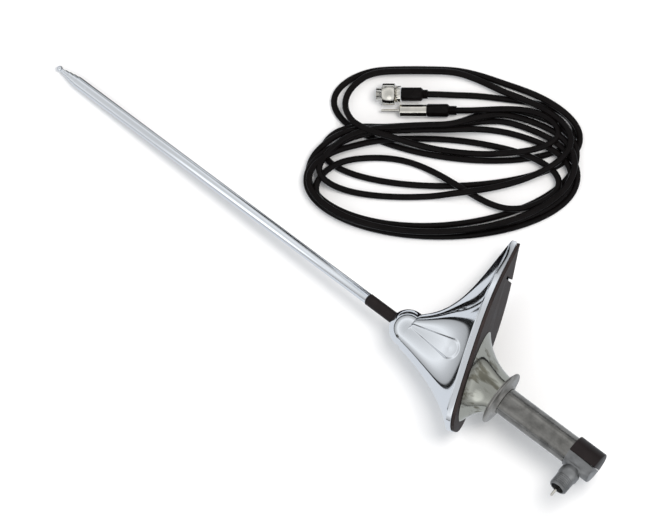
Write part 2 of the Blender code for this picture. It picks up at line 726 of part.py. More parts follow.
def screw_plug(lead, nickel, rubber, brass, plastic):
    """Plug for the stub: body, free knurled nut, centre socket and moulded boot."""
    height = NUT_KNURL_RADIUS
    carrier = plug_carrier("screw_plug_axis", SCREW_PLUG_TIP, height, lead)
    nut_end = NUT_START + NUT_LENGTH
    bore = STUB_RADIUS + THREAD_GAP
    collar_low = nut_end + RUN_GAP
    collar_end = collar_low + COLLAR_LENGTH
    flange_end = nut_end - NUT_BACK_WALL - RUN_GAP
    inner = PLUG_BODY_RADIUS - PLUG_WALL
    floor = SOCKET_LENGTH - 2.0
    profile = [(0, collar_end), (COLLAR_RADIUS, collar_end), (COLLAR_RADIUS, collar_low),
               (PLUG_BODY_RADIUS, collar_low), (PLUG_BODY_RADIUS, flange_end), (COLLAR_RADIUS, flange_end),
               (COLLAR_RADIUS, flange_end - 1.4), (PLUG_BODY_RADIUS, flange_end - 1.4),
               (PLUG_BODY_RADIUS, 0), (inner, 0), (inner, floor), (0, floor)]
    turned("screw_plug_body", profile, nickel, carrier)
    hole = PLUG_BODY_RADIUS + RUN_GAP
    back = nut_end - NUT_BACK_WALL
    outer = NUT_KNURL_RADIUS
    sides = 2 * KNURL_COUNT
    rings = [round_ring(bore, NUT_START, sides), round_ring(outer - LIP_EDGE - KNURL_DEPTH, NUT_START, sides),
             round_ring(outer, NUT_START + LIP_EDGE, sides, KNURL_DEPTH),
             round_ring(outer, nut_end - LIP_EDGE, sides, KNURL_DEPTH),
             round_ring(outer - LIP_EDGE - KNURL_DEPTH, nut_end, sides), round_ring(hole, nut_end, sides),
             round_ring(hole, back, sides), round_ring(bore, back, sides)]
    loft("coupling_nut", rings, nickel, carrier, looped=True)
    socket_bore = PIN_RADIUS + 0.1
    turned("screw_plug_insulator", ring_profile(socket_bore + 1.0, inner - RUN_GAP, 3.0, floor - RUN_GAP),
           plastic, carrier, looped=True)
    turned("screw_plug_contact", ring_profile(socket_bore, socket_bore + 0.7, 1.0, floor - RUN_GAP), brass,
           carrier, sides=16, looped=True)
    boot_low = collar_end + RUN_GAP
    turned("screw_plug_boot", boot_profile(boot_low, BOOT_RADIUS, BOOT_LENGTH, BOOT_NECK), rubber, carrier)
    rear = boot_low + BOOT_LENGTH + BOOT_NECK
    return (SCREW_PLUG_TIP[0] + rear + RUN_GAP, SCREW_PLUG_TIP[1], height)


def radio_plug(lead, nickel, rubber, plastic):
    """Car radio plug: long pin, insulator, plain barrel and moulded boot."""
    height = RADIO_BOOT_RADIUS
    carrier = plug_carrier("radio_plug_axis", RADIO_PLUG_TIP, height, lead)
    barrel_low = RADIO_PIN_LENGTH
    barrel_end = barrel_low + BARREL_LENGTH
    inner = BARREL_RADIUS - BARREL_WALL
    insulator_end = barrel_low + 6.0
    pin_end = insulator_end + 2.0
    nose = RADIO_PIN_RADIUS * 0.5
    turned("radio_plug_pin", [(0, 0), (nose, 0), (RADIO_PIN_RADIUS, nose), (RADIO_PIN_RADIUS, pin_end),
                              (0, pin_end)], nickel, carrier, sides=16)
    turned("radio_plug_insulator", ring_profile(RADIO_PIN_RADIUS + RUN_GAP, inner - RUN_GAP,
                                                barrel_low + 0.4, insulator_end), plastic, carrier,
           looped=True)
    edge = LIP_EDGE
    profile = [(inner, barrel_low), (BARREL_RADIUS - edge, barrel_low), (BARREL_RADIUS, barrel_low + edge),
               (BARREL_RADIUS, barrel_end), (inner, barrel_end)]
    turned("radio_plug_barrel", profile, nickel, carrier, looped=True)
    boot_low = barrel_end + RUN_GAP
    turned("radio_plug_boot", boot_profile(boot_low, RADIO_BOOT_RADIUS, RADIO_BOOT_LENGTH, RADIO_BOOT_NECK),
           rubber, carrier)
    rear = boot_low + RADIO_BOOT_LENGTH + RADIO_BOOT_NECK
    return (RADIO_PLUG_TIP[0] + rear + RUN_GAP, RADIO_PLUG_TIP[1], height)


def hole_wall_x(y):
    """Inner face of the coil's upper hole on the plugs' rear side, at a given Y."""
    centre_x, centre_y, half_x, half_y = UPPER_HOLE
    share = min(1.0, abs(y - centre_y) / half_y)
    return centre_x + half_x * (1 - share ** HOLE_SQUARENESS) ** (1 / HOLE_SQUARENESS)


def stand_on_origin(floor, carrier):
    """Move everything so that the antenna's box stands centred on the origin."""
    bpy.context.view_layer.update()
    depsgraph = bpy.context.evaluated_depsgraph_get()
    corners = []
    for obj in bpy.data.objects:
        if obj.type != "MESH" or obj.hide_render:
            continue
        if carrier not in (obj.parent, obj.parent.parent):
            continue
        mesh = obj.evaluated_get(depsgraph).data
        corners += [obj.matrix_world @ vertex.co for vertex in mesh.vertices]
    low = Vector([min(corner[k] for corner in corners) for k in range(3)])
    high = Vector([max(corner[k] for corner in corners) for k in range(3)])
    floor.location = (-(low.x + high.x) / 2, -(low.y + high.y) / 2, -low.z)


def main():
    """Build every piece."""
    clear_scene()
    chrome = material("chrome", (0.78, 0.8, 0.84), 0.06, 1.0)
    nickel = material("nickel", (0.74, 0.73, 0.68), 0.16, 1.0)
    steel = material("steel", (0.62, 0.61, 0.58), 0.28, 1.0)
    cast = material("cast_metal", (0.3, 0.3, 0.3), 0.5, 1.0)
    brass = material("brass", (0.72, 0.55, 0.28), 0.25, 1.0)
    plastic = material("black_plastic", (0.02, 0.018, 0.018), 0.4, 0.0)
    white = material("white_plastic", (0.8, 0.8, 0.76), 0.4, 0.0)
    rubber = material("black_rubber", (0.03, 0.026, 0.026), 0.55, 0.0)

    lean, height = rest_pose()
    floor = empty("floor_frame", (0, 0, 0))
    turn = Matrix(((0, math.sin(lean), -math.cos(lean)), (1, 0, 0), (0, -math.cos(lean), -math.sin(lean))))
    antenna = empty("antenna_frame", (0, 0, height), turn, floor)
    head = empty("head_pivot", (0, 0, BALL_HEIGHT), None, antenna)

    base_cover(antenna, chrome)
    gasket(antenna, rubber)
    clamp_claw(antenna, nickel)
    fasteners(antenna, steel)
    body_tube(antenna, steel)
    stub_place = tube_end(antenna, plastic, cast)
    stub_inside(antenna, stub_place, white, nickel)
    conductor(antenna, brass, white, steel)
    shoulder = ball_head(antenna, head, chrome, steel, plastic)
    mast(head, shoulder, chrome)

    lead = empty("lead_frame", (*LEAD_CENTRE, 0), Matrix.Rotation(LEAD_TURN, 3, "Z"), floor)
    lead_coil(lead, rubber)
    screw_rear = screw_plug(lead, nickel, rubber, brass, white)
    radio_rear = radio_plug(lead, nickel, rubber, white)
    for name, rear in (("lead_tube_1", screw_rear), ("lead_tube_2", radio_rear)):
        reach = min(hole_wall_x(rear[1] - CABLE_RADIUS), hole_wall_x(rear[1] + CABLE_RADIUS))
        lead_tube(name, rear, reach - TUBE_END_GAP, lead, rubber)
    stand_on_origin(floor, antenna)


main()
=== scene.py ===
"""Looks of the telescopic wing antenna: chrome, nickel, castings, rubber and the loose coaxial lead."""

import json
import math

import bmesh
import bpy
import numpy as np
from mathutils import Matrix, Vector


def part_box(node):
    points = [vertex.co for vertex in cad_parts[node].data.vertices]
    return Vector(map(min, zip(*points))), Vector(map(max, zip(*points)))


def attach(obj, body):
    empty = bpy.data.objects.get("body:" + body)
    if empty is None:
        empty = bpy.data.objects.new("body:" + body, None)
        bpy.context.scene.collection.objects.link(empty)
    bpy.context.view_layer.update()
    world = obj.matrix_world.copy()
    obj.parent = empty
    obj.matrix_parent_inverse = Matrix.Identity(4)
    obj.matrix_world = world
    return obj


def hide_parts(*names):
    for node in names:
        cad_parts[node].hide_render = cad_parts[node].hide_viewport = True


bl_info = {
    "name": "Wing antenna finishes",
    "version": (1, 0, 0),
    "blender": (4, 5, 0),
    "location": "3D View > Sidebar > Antenna",
    "description": "Dresses the antenna's solids with fine surfaces, finishes and its lead",
    "category": "Object",
}

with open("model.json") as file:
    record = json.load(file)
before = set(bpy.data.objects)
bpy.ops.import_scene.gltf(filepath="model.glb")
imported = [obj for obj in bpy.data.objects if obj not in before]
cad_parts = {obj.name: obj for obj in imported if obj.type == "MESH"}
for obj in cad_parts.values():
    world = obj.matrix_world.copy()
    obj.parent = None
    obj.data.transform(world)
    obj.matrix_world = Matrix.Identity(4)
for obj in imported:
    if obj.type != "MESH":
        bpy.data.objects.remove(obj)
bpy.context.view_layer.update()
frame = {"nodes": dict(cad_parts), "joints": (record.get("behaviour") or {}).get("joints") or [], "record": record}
JOINTS = {joint["name"]: joint for joint in frame["joints"]}
BODY_OF = {node: body for body, nodes in frame["record"]["behaviour"]["bodies"].items() for node in nodes}
SLOT_OF = {part["node"]: part["material_slot"] for part in frame["record"]["subparts"]}
MM = 0.001

# Antenna frame: Z along the mast, X towards the cover's tail, Y across, origin where the rim meets the axis
HEAD_HEIGHT = 49.7
MAST_WAY = Vector(JOINTS["section_2_slide"]["axis"]).normalized()
ACROSS = Vector(JOINTS["head_tilt"]["axis"]).normalized()
TAIL_WAY = ACROSS.cross(MAST_WAY)
PIVOT = Vector(JOINTS["head_tilt"]["pos_m"])
RIM_CENTRE = PIVOT - MAST_WAY * HEAD_HEIGHT * MM
ANTENNA = Matrix.Translation(RIM_CENTRE) @ Matrix((TAIL_WAY, ACROSS, MAST_WAY)).transposed().to_4x4()

# Camera: the photograph's size in pixels, its scale and where the rim's centre lies in it
PHOTO_SIZE = (665, 516)
PIXELS_PER_MM = 1.55
RIM_CENTRE_PIXEL = (468.8, 373.9)
AXIS_TURN = math.radians(36.7)
CAMERA_LEAN = math.radians(8.3)
CAMERA_DISTANCE = 4.0
CAMERA_REACH = 20.0
SENSOR = 36.0

# Sky that the plated faces reflect: a direction's height and its brightness there
SKY = ((0.0, 0.012), (0.065, 0.015), (0.1, 0.5), (0.3, 0.72),
       (0.5, 1.1), (0.7, 0.92), (0.88, 0.78), (1.0, 0.74))
SKY_TINT = (0.95, 0.975, 1.0)
SKY_LEAN = (0.03, -0.04, 1.0)
SKY_STRENGTH = 0.8
SOFT_BOX = (0.486, -0.519, 0.703)
SOFT_BOX_EDGES = (0.9, 0.97)
SOFT_BOX_LIGHT = 0.55

# Floor, in metres, and the grey that plated faces reflect in its place
FLOOR_HALF = 3.0
FLOOR_HEIGHT = -0.0002
FLOOR_COLOUR = (0.96, 0.96, 0.965)
FLOOR_REFLECTION = (0.66, 0.69, 0.73)

# Dark strip on the floor, seen only in the polish: lengths in millimetres, but its height in metres
CARD_WIDTH = 26.0
CARD_UNDER = 5.0
CARD_END = 345.0
CARD_NARROWING = 0.7
CARD_STEPS = 12
CARD_HEIGHT = 0.0003
CARD_COLOUR = (0.01, 0.01, 0.012)

# Lamps: name, place and size in metres, power in watts
LAMPS = (("top_light", (0.35, 0.45, 1.3), 0.6, 11.6), ("side_light", (-0.6, 0.2, 1.1), 0.7, 1.5))
LAMP_TINT = (1.0, 0.965, 0.93)

# Cover, its lengths in millimetres
RAKE = math.radians(18.0)
RIM_NOSE = 39.0
RIM_TAIL = 91.0
RIM_HALF_WIDTH = 28.0
TAIL_TAPER = 0.92
TAIL_POWER = 2.9
NOSE_FULLNESS = 0.6
RING_POINTS = 480
FLARE_RINGS = 120
FLARE_MARGIN = 0.02
INNER_SHARES = (0.9, 0.82, 0.7, 0.55, 0.4, 0.25, 0.12)
LIP_TOP = 1.8
LIP_EDGE = 0.4
LIP_STEPS = 4
LIP_WALL = 2.4
LIP_LEDGE = 0.2
COVER_WALL = 1.6
TAIL_HANDLES = ((60.0, 13.5), (37.0, 18.0))
NOSE_HANDLES = ((-25.0, 9.0), (-10.0, 26.0))
WAIST_WIDTHS = (21.0, 15.0)
SEAM_HEIGHT = 47.3
SEAM_RADIUS = 13.4
SEAM_EDGE = 0.15
SOCKET_RADIUS = 12.9
SOCKET_DEPTH = 3.0

# Raised drop on the cover's sides: places of its round end and its tip, each with its radius
DROP_END = (6.0, 16.0, 6.5)
DROP_TIP = (3.0, 46.0, 1.3)
DROP_EDGE = 1.4
DROP_LIMIT = 0.6

# Ball head, its screw's hole, the mast's sleeve and the stake mark, in millimetres
BALL_RADIUS = 12.6
BALL_RINGS = 72
BALL_POLE = 0.02
MAST_BORE = 3.3
MAST_BORE_FLOOR = 4.6
SCREW_HOLE_RADIUS = 1.2
SCREW_HOLE_DEPTH = 5.0
SCREW_HOLE_OUT = 0.4
SLEEVE_PROFILE = ((MAST_BORE, 12.45), (3.9, 12.05), (4.0, 12.2), (4.0, 32.7), (3.85, 32.9), (MAST_BORE, 32.9))
MAST_RADIUS = 3.7
STAKE_HEIGHT = 319.0
STAKE_RADIUS = 0.9
STAKE_FLATNESS = 0.3

# Stub's thread, in millimetres; its start is measured from the antenna's axis
THREAD_START = 17.8
THREAD_LENGTH = 8.2
THREAD_RADIUS = 5.85
THREAD_STEPS = 40
RIDGE_SIDES = 6

# Angles between faces above which an edge stays crisp
SHARP_EDGE = math.radians(32.0)
LOFT_EDGE = math.radians(40.0)

# Lead, in millimetres in a frame over the coil's middle, turned to lie along the photograph's rows
LEAD_TURN = math.radians(36.2)
CABLE_RADIUS = 2.1
LEAD_SPACING = 2.4
SCREW_PLUG_REAR = (-9.5, 40.3, 7.1)
RADIO_PLUG_REAR = (9.3, 30.0, 4.3)
PLUG_RUNS = (0, 6, 14)
PLUG_CLIMB = 22.0
FROM_SCREW_PLUG = [(22, 40.0), (38, 38.0)]
TO_RADIO_PLUG = [(62, 29.5), (45, 31.0), (32, 30.3)]
BETWEEN_COILS = [(-24, 0), (6, -16)]
# Each turn of a coil: its middle's two places, half length, half width, and tilt in degrees
OUTGOING_TURNS = ((8, 27, 79, 25, -8), (9, 24, 82, 30, -9), (4, -2, 84, 34, 6), (0, -13, 90, 41, 0),
                  (-1, -15, 87, 36, 1), (1, -18, 82, 30, 3))
RETURNING_TURNS = ((-2, -22, 76, 20, 2), (0, -14, 88, 38, -1), (3, -3, 84, 34, 8), (9, 22, 75, 27, -9),
                   (8, 27, 69, 19, -10))
OUTGOING_FROM = math.radians(38.0)
OUTGOING_SWEEP = math.radians(-1700.0)
RETURNING_FROM = math.radians(-58.0)
RETURNING_SWEEP = math.radians(1155.0)
POINT_ANGLE = math.radians(24.0)
SPLINE_SPREAD = 1.03
SPLINE_STEPS = 12
# Room that the turns leave for the plugs: near and far end, low and high side
PLUG_ROOM = (-47.0, 12.0, 22.3, 50.8)
PLUG_MIDDLE = 37.0
PLUG_EASE = 22.0
PLUG_TAIL = 60.0
PLUG_CROWDING = 3
PLUG_BLUR = 6
# How strands lie on each other: distance and skipped length in diameters, highest centre, passes, smoothing
STRAND_DISTANCE = 1.02
STRAND_SKIP = 5
HIGHEST = 7.4 * CABLE_RADIUS
LAY_PASSES = 3
LAY_BLUR = 2
# Mast at its tilt's end: pivot, angle, height of its underside at the pivot, and fall per millimetre
TILT_PIVOT = (69.5, -24.9)
TILT_REACH = math.radians(25.0)
MAST_UNDERSIDE = 21.15
MAST_FALL = 0.0692
MAST_ASIDE = 7.0
MAST_GAP = 0.4


class Finish(bpy.types.PropertyGroup):
    """Colours and sheen that a user would change."""

    chrome: bpy.props.FloatVectorProperty(name="Chrome", description="Tint of the chrome plate", size=3,
                                          subtype="COLOR", default=(0.93, 0.95, 0.98))
    nickel: bpy.props.FloatVectorProperty(name="Nickel", description="Tint of the clamp claw", size=3,
                                          subtype="COLOR", default=(0.46, 0.46, 0.41))
    jacket: bpy.props.FloatVectorProperty(name="Jacket", description="Colour of the lead's jacket", size=3,
                                          subtype="COLOR", default=(0.0035, 0.0028, 0.0028))
    chrome_haze: bpy.props.FloatProperty(name="Chrome haze", description="Roughness of the chrome plate",
                                         subtype="FACTOR", default=0.05, min=0.0, max=1.0)


class Sizes(bpy.types.PropertyGroup):
    """Sizes of the fine forms."""

    relief: bpy.props.FloatProperty(name="Relief", description="Height of the cover's raised drop",
                                    default=0.0007, unit="LENGTH")
    thread_pitch: bpy.props.FloatProperty(name="Thread pitch", description="Pitch of the stub's thread",
                                          default=0.0013, unit="LENGTH")
    thread_depth: bpy.props.FloatProperty(name="Thread depth", description="Depth of the stub's thread",
                                          default=0.00045, unit="LENGTH")


class Value:
    """A socket that shader sums are written with."""

    def __init__(self, nodes, socket):
        self.nodes = nodes
        self.socket = socket

    def maths(self, operation, other):
        made = self.nodes.node("ShaderNodeMath", {"operation": operation}, {0: self, 1: other})
        return Value(self.nodes, made.outputs[0])

    def __add__(self, other):
        return self.maths("ADD", other)

    def __mul__(self, other):
        return self.maths("MULTIPLY", other)

    __radd__ = __add__
    __rmul__ = __mul__


class Nodes:
    """A shader's tree, with one method that makes every kind of node."""

    def __init__(self, tree):
        self.tree = tree

    def node(self, kind, settings=None, inputs=None):
        """Node with its settings, which come first, and then the values or links of its sockets."""
        made = self.tree.nodes.new(kind)
        for key, value in (settings or {}).items():
            if key == "stops":
                set_stops(made.color_ramp, value)
            else:
                setattr(made, key, value)
        for key, value in (inputs or {}).items():
            self.feed(made.inputs[key], value)
        return made

    def feed(self, socket, value):
        """Link a socket, or set it where the value is a constant."""
        if isinstance(value, Value):
            value = value.socket
        if isinstance(value, bpy.types.NodeSocket):
            self.tree.links.new(value, socket)
        else:
            socket.default_value = value

    def share(self, value, low, high):
        """How far a value is on its way from low to high, held between 0 and 1."""
        made = self.node("ShaderNodeMapRange", {"clamp": True}, {0: value, 1: low, 2: high})
        return Value(self, made.outputs[0])


def set_stops(ramp, stops):
    """Places and colours of a colour ramp."""
    ramp.elements[0].position = stops[0][0]
    ramp.elements[1].position = stops[-1][0]
    for place, _ in stops[1:-1]:
        ramp.elements.new(place)
    for element, (_, colour) in zip(ramp.elements, stops):
        element.color = (*colour, 1.0)


class Shader(Nodes):
    """One procedural material on a Principled shader, in Object coordinates."""

    def __init__(self, name):
        self.material = bpy.data.materials.new(name)
        self.material.use_nodes = True
        super().__init__(self.material.node_tree)
        self.surface = self.tree.nodes["Principled BSDF"]
        self.place = self.node("ShaderNodeTexCoord").outputs["Object"]

    def noise(self, scale, detail, stretch=None):
        """Noise of a scale, or of one scale for each axis."""
        place = self.place
        if stretch is not None:
            place = self.node("ShaderNodeMapping", None, {"Vector": place, "Scale": stretch}).outputs[0]
        made = self.node("ShaderNodeTexNoise", None, {"Vector": place, "Scale": scale, "Detail": detail})
        return Value(self, made.outputs[0])

    def mix(self, share, first, second):
        """Colour between two colours."""
        made = self.node("ShaderNodeMix", {"data_type": "RGBA"},
                         {"Factor": share, 6: (*first, 1.0), 7: (*second, 1.0)})
        return made.outputs[2]

    def bump(self, height, strength, distance):
        """Fine relief of the surface."""
        made = self.node("ShaderNodeBump", None,
                         {"Height": height, "Strength": strength, "Distance": distance})
        self.feed(self.surface.inputs["Normal"], made.outputs[0])

    def set(self, **values):
        """Feed the Principled shader's sockets, named with _ for each space."""
        for key, value in values.items():
            self.feed(self.surface.inputs[key.replace("_", " ")], value)


def chrome_finish():
    """Mirror plate with a faint haze and the slow waves of a polished casting."""
    finish = bpy.context.scene.antenna_finish
    shader = Shader("chrome")
    haze = shader.share(shader.noise(60.0, 4.0), 0.35, 0.7)
    shader.set(Base_Color=(*finish.chrome, 1.0), Metallic=1.0, Roughness=finish.chrome_haze + 0.06 * haze)
    shader.bump(shader.noise(45.0, 1.0), 0.12, 0.0004)
    return shader.material


def nickel_finish():
    """Warm plate with streaks of roughness and relief that run down the claw; its colour darkens along them as
    painted reflection.
    """
    finish = bpy.context.scene.antenna_finish
    shader = Shader("claw_nickel")
    streak = shader.noise(1.0, 3.0, (35.0, 210.0, 210.0))
    # Painted reflection: along the streaks the colour goes toward near-black, standing in for shadowy surroundings
    # mirrored in the claw.
    painted_reflection = 0.85 * shader.share(streak, 0.52, 0.64)
    shader.set(Base_Color=shader.mix(painted_reflection, finish.nickel, (0.16, 0.15, 0.11)), Metallic=1.0,
               Roughness=0.08 + 0.12 * shader.share(streak, 0.3, 0.7))
    shader.bump(streak, 0.1, 0.0005)
    return shader.material


def steel_finish(name, tint, rough, grain, spread=0.14, dulling=0.68):
    """Plated steel with a fine grain and soft blotches."""
    shader = Shader(name)
    blotch = shader.noise(140.0, 5.0)
    dull = tuple(value * dulling for value in tint)
    shader.set(Base_Color=shader.mix(shader.share(blotch, 0.4, 0.66), tint, dull), Metallic=1.0,
               Roughness=rough + spread * shader.share(blotch, 0.3, 0.7))
    shader.bump(shader.noise(grain, 4.0), 0.15, 0.0002)
    return shader.material


def plain_finish(name, tint, rough, grain, strength, lighter=1.5, shine=0.3):
    """Moulded plastic, rubber or jacket with a fine grain."""
    shader = Shader(name)
    blotch = shader.noise(90.0, 4.0)
    pale = tuple(value * lighter for value in tint)
    shader.set(Specular_IOR_Level=shine,
               Base_Color=shader.mix(shader.share(blotch, 0.35, 0.7), tint, pale),
               Roughness=rough + 0.12 * shader.share(blotch, 0.3, 0.7))
    shader.bump(shader.noise(grain, 3.0), strength, 0.0002)
    return shader.material


def make_finishes():
    """One finish for each of the record's slots."""
    jacket = tuple(bpy.context.scene.antenna_finish.jacket)
    return {
        "chrome": chrome_finish(),
        "claw_nickel": nickel_finish(),
        "bright_steel": steel_finish("bright_steel", (0.29, 0.28, 0.262), 0.12, 900.0, 0.08, 0.6),
        "fastener_steel": steel_finish("fastener_steel", (0.4, 0.385, 0.36), 0.26, 1200.0),
        "cast_metal": steel_finish("cast_metal", (0.32, 0.32, 0.32), 0.38, 900.0),
        "black_plastic": plain_finish("black_plastic", (0.012, 0.009, 0.009), 0.32, 1800.0, 0.15, shine=0.16),
        "white_plastic": plain_finish("white_plastic", (0.6, 0.6, 0.56), 0.4, 1500.0, 0.1, lighter=1.1),
        "brass": steel_finish("brass", (0.75, 0.56, 0.28), 0.22, 1200.0),
        "plug_nickel": steel_finish("plug_nickel", (0.86, 0.82, 0.74), 0.07, 1300.0, 0.06, 0.85),
        "gasket_rubber": plain_finish("gasket_rubber", (0.024, 0.018, 0.017), 0.5, 1500.0, 0.3, 1.8, 0.15),
        "cable_jacket": plain_finish("cable_jacket", jacket, 0.22, 2200.0, 0.08, shine=0.08),
    }


FINISHES = {}


def finish_of(slot):
    """Finish for a slot, made once."""
    if not FINISHES:
        FINISHES.update(make_finishes())
    return FINISHES[slot]


def new_object(name, data):
    """Object of the scene for a mesh, curve, lamp or camera."""
    made = bpy.data.objects.new(name, data)
    bpy.context.scene.collection.objects.link(made)
    return made


def new_piece(name, mesh, node):
    """Object that stands for a CAD node, on that node's body and slot."""
    piece = new_object(name, mesh)
    mesh.materials.clear()
    mesh.materials.append(finish_of(SLOT_OF[node]))
    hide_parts(node)
    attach(piece, BODY_OF[node])
    return piece


def smooth_copy(node):
    """A CAD node's own shape, merged and shaded smooth with crisp edges."""
    mesh = frame["nodes"][node].data.copy()
    work = bmesh.new()
    work.from_mesh(mesh)
    bmesh.ops.remove_doubles(work, verts=work.verts, dist=1e-6)
    work.to_mesh(mesh)
    work.free()
    mesh.shade_smooth()
    mesh.set_sharp_from_angle(angle=SHARP_EDGE)
    new_piece(node + "_surface", mesh, node)


def rings_mesh(name, rings, looped):
    """Closed mesh over rings of points in the antenna frame: last ring to first, or with both ends capped."""
    count = len(rings[0])
    points = [ANTENNA @ (Vector(point) * MM) for ring in rings for point in ring]
    faces = []
    steps = len(rings) if looped else len(rings) - 1
    for k in range(steps):
        low = k * count
        high = (k + 1) % len(rings) * count
        for j in range(count):
            after = (j + 1) % count
            faces.append((low + j, low + after, high + after, high + j))
    if not looped:
        faces += [list(range(count)), list(range(len(points) - count, len(points)))]
    mesh = bpy.data.meshes.new(name)
    mesh.from_pydata(points, [], faces)
    work = bmesh.new()
    work.from_mesh(mesh)
    bmesh.ops.recalc_face_normals(work, faces=work.faces)
    work.to_mesh(mesh)
    work.free()
    mesh.shade_smooth()
    mesh.set_sharp_from_angle(angle=LOFT_EDGE)
    return mesh


def ease(share):
    """Smooth step between 0 and 1."""
    return share * share * (3 - 2 * share)


def held(share):
    """A share kept between 0 and 1."""
    return min(1.0, max(0.0, share))


def from_rim(along, above):
    """Antenna frame's X and Z of a point along and above the rim."""
    return (along * math.cos(RAKE) - above * math.sin(RAKE), along * math.sin(RAKE) + above * math.cos(RAKE))


def bezier(start, handles, end, share):
    """Point and direction on a cubic curve."""
    knots = [Vector(knot) for knot in (start, *handles, end)]
    rest = 1.0 - share
    point = (knots[0] * rest ** 3 + knots[1] * 3 * rest ** 2 * share + knots[2] * 3 * rest * share ** 2
             + knots[3] * share ** 3)
    along = ((knots[1] - knots[0]) * rest ** 2 + (knots[2] - knots[1]) * 2 * rest * share
             + (knots[3] - knots[2]) * share ** 2)
    return point, along.normalized()


def oval_ring(nose, tail, half_width, roundness):
    """Ring from nose to tail; roundness 0 is the rim's outline and 1 a circle."""
    nose = Vector(nose)
    tail = Vector(tail)
    ring = []
    for k in range(RING_POINTS):
        angle = 2 * math.pi * k / RING_POINTS
        reach = math.cos(angle)
        factor = 1.0 - TAIL_TAPER * reach ** TAIL_POWER if reach > 0 else 1.0 + NOSE_FULLNESS * reach ** 4
        factor = (1.0 - roundness) * factor + roundness
        spot = (nose + tail) / 2 + (tail - nose) / 2 * reach
        ring.append((spot.x, half_width * math.sin(angle) * factor, spot.y))
    return ring


def rim_ring(inset, above):
    """The rim's outline, drawn in and raised."""
    return oval_ring(from_rim(inset - RIM_NOSE, above), from_rim(RIM_TAIL - inset, above),
                     RIM_HALF_WIDTH - inset, 0.0)


def flare_ring(share, grow):
    """Ring of the cover's flare, 0 at the lip and 1 at the seam, grown or shrunk by a distance."""
    seam = [(side * SEAM_RADIUS * math.cos(RAKE) + SEAM_HEIGHT * math.sin(RAKE),
             SEAM_HEIGHT * math.cos(RAKE) - side * SEAM_RADIUS * math.sin(RAKE)) for side in (1, -1)]
    tail, along = bezier((RIM_TAIL, LIP_TOP), TAIL_HANDLES, seam[0], share)
    tail += Vector((along.y, -along.x)) * grow
    nose, along = bezier((-RIM_NOSE, LIP_TOP), NOSE_HANDLES, seam[1], share)
    nose += Vector((-along.y, along.x)) * grow
    handles = [(width, 0) for width in WAIST_WIDTHS]
    width, along = bezier((RIM_HALF_WIDTH, 0), handles, (SEAM_RADIUS, 0), share)
    return oval_ring(from_rim(*nose), from_rim(*tail), width.x + grow, ease(share))


def circle_ring(radius, height):
    """Circle about the mast's axis."""
    return oval_ring((-radius, height), (radius, height), radius, 1.0)


def drop_distance(x, z):
    """How far a point of the cover's side lies outside the raised drop, in millimetres."""
    end = Vector(DROP_END[:2])
    tip = Vector(DROP_TIP[:2])
    axis = tip - end
    share = held((Vector((x, z)) - end).dot(axis) / axis.length_squared)
    radius = DROP_END[2] + (DROP_TIP[2] - DROP_END[2]) * share
    return (Vector((x, z)) - end - axis * share).length - radius


def raise_drop(mesh, first, last):
    """Lift the drop on both sides of the cover's outer skin, with a soft edge and a slight dome."""
    relief = bpy.context.scene.antenna_sizes.relief
    back = ANTENNA.inverted()
    normals = [vertex.normal.copy() for vertex in mesh.vertices]
    for index in range(first, last):
        vertex = mesh.vertices[index]
        spot = back @ vertex.co / MM
        outside = drop_distance(spot.x, spot.z)
        step = held(0.5 - outside / DROP_EDGE)
        dome = held(-outside / DROP_END[2])
        if spot.z < SEAM_HEIGHT - DROP_LIMIT:
            vertex.co += normals[index] * relief * (ease(step) + 0.5 * dome)


class ANTENNA_OT_cover(bpy.types.Operator):
    """Chrome cover as one fine shell"""

    bl_idname = "antenna.cover"
    bl_label = "Cover"

    def execute(self, context):
        lip = [rim_ring(LIP_EDGE, -LIP_TOP)]
        for k in range(1, LIP_STEPS):
            angle = math.pi / 2 * k / LIP_STEPS
            inset = LIP_EDGE * (1 - math.sin(angle))
            lip.append(rim_ring(inset, LIP_EDGE * (1 - math.cos(angle)) - LIP_TOP))
        lip += [rim_ring(0.0, LIP_EDGE - LIP_TOP), rim_ring(0.0, LIP_TOP - LIP_EDGE)]
        lip.append(rim_ring(LIP_EDGE, LIP_TOP))
        shares = [FLARE_MARGIN + (1 - 2 * FLARE_MARGIN) * (k / (FLARE_RINGS - 1)) for k in range(FLARE_RINGS)]
        outer = [flare_ring(share, 0.0) for share in shares]
        top = [circle_ring(SEAM_RADIUS, SEAM_HEIGHT - SEAM_EDGE),
               circle_ring(SEAM_RADIUS - SEAM_EDGE, SEAM_HEIGHT),
               circle_ring(SOCKET_RADIUS, SEAM_HEIGHT),
               circle_ring(SOCKET_RADIUS, SEAM_HEIGHT - SOCKET_DEPTH)]
        inner = [flare_ring(share, -COVER_WALL) for share in INNER_SHARES]
        inner += [rim_ring(LIP_WALL, LIP_LEDGE), rim_ring(LIP_WALL, -LIP_TOP)]
        mesh = rings_mesh("cover", lip + outer + top + inner, True)
        raise_drop(mesh, len(lip) * RING_POINTS, (len(lip) + len(outer)) * RING_POINTS)
        new_piece("cover", mesh, "base_cover")
        return {"FINISHED"}


